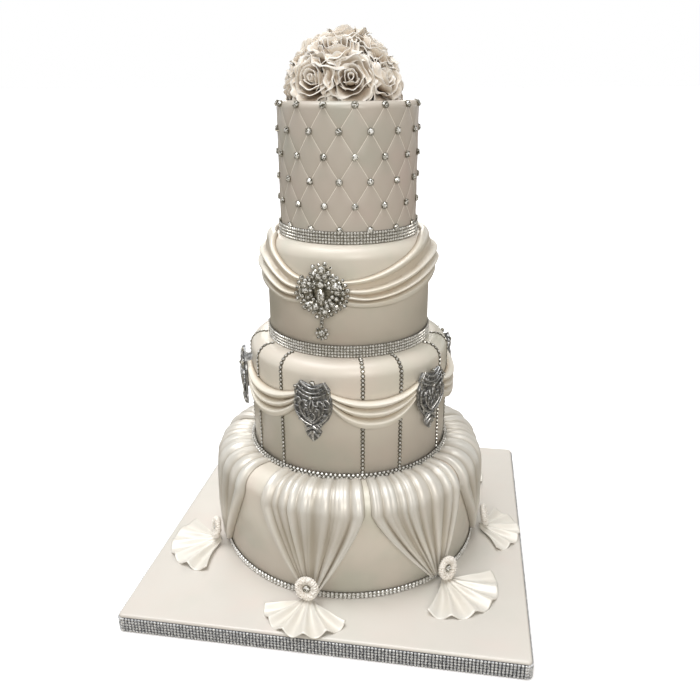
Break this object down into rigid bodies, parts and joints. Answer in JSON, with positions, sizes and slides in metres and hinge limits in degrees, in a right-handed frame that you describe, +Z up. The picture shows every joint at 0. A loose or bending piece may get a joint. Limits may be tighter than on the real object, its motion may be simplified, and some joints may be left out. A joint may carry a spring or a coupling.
{
  "type": "tiered wedding cake",
  "caption": "round tiered wedding cake in ivory icing with draped icing panels, swags, a gathered sash, crystal trims and a heap of sugar roses, on its iced square board",
  "frame": {"origin": "centre of the underside of the square board, on the surface that it stands on", "axes": "+Z up through the tiers; X and Y along the board's sides; the brooch and its gathered sash face about -Y"},
  "size_m": [0.457, 0.461, 0.6371],
  "materials": {
    "icing": "rolled ivory icing with a soft pearl lustre",
    "modelled_icing": "modelled ivory icing brushed with pearl lustre, glossier on the folds",
    "rose_paste": "thin matte sugar petals",
    "filigree": "cast silver filigree, darker in its hollows",
    "jewel": "silver setting full of cut clear stones",
    "crystal_mesh": "silver mesh of small faceted beads"
  },
  "bodies": {
    "root": {"bead_trim_2": "crystal_mesh", "board": "icing", "board_band": "crystal_mesh", "brooch": "jewel", "crest_1": "filigree", "crest_2": "filigree", "crest_3": "filigree", "crest_4": "filigree", "crest_5": "filigree", "crest_6": "filigree", "drape_1": "modelled_icing", "drape_2": "modelled_icing", "drape_3": "modelled_icing", "drape_4": "modelled_icing", "drape_5": "modelled_icing", "drape_6": "modelled_icing", "drape_7": "modelled_icing", "fan_1": "modelled_icing", "fan_2": "modelled_icing", "fan_3": "modelled_icing", "fan_4": "modelled_icing", "fan_5": "modelled_icing", "fan_6": "modelled_icing", "fan_7": "modelled_icing", "pendant": "jewel", "ribbon_1": "crystal_mesh", "ribbon_3": "crystal_mesh", "ribbon_4": "crystal_mesh", "rose_1": "rose_paste", "rose_10": "rose_paste", "rose_11": "rose_paste", "rose_12": "rose_paste", "rose_13": "rose_paste", "rose_2": "rose_paste", "rose_3": "rose_paste", "rose_4": "rose_paste", "rose_5": "rose_paste", "rose_6": "rose_paste", "rose_7": "rose_paste", "rose_8": "rose_paste", "rose_9": "rose_paste", "rose_dome": "rose_paste", "rosette_1": "modelled_icing", "rosette_2": "modelled_icing", "rosette_3": "modelled_icing", "rosette_4": "modelled_icing", "rosette_5": "modelled_icing", "rosette_6": "modelled_icing", "rosette_7": "modelled_icing", "sash": "modelled_icing", "swag_1": "modelled_icing", "swag_2": "modelled_icing", "swag_3": "modelled_icing", "swag_4": "modelled_icing", "swag_5": "modelled_icing", "swag_6": "modelled_icing", "tier_1": "icing", "tier_2": "icing", "tier_3": "icing", "tier_4": "icing"}
  },
  "joints": []
}
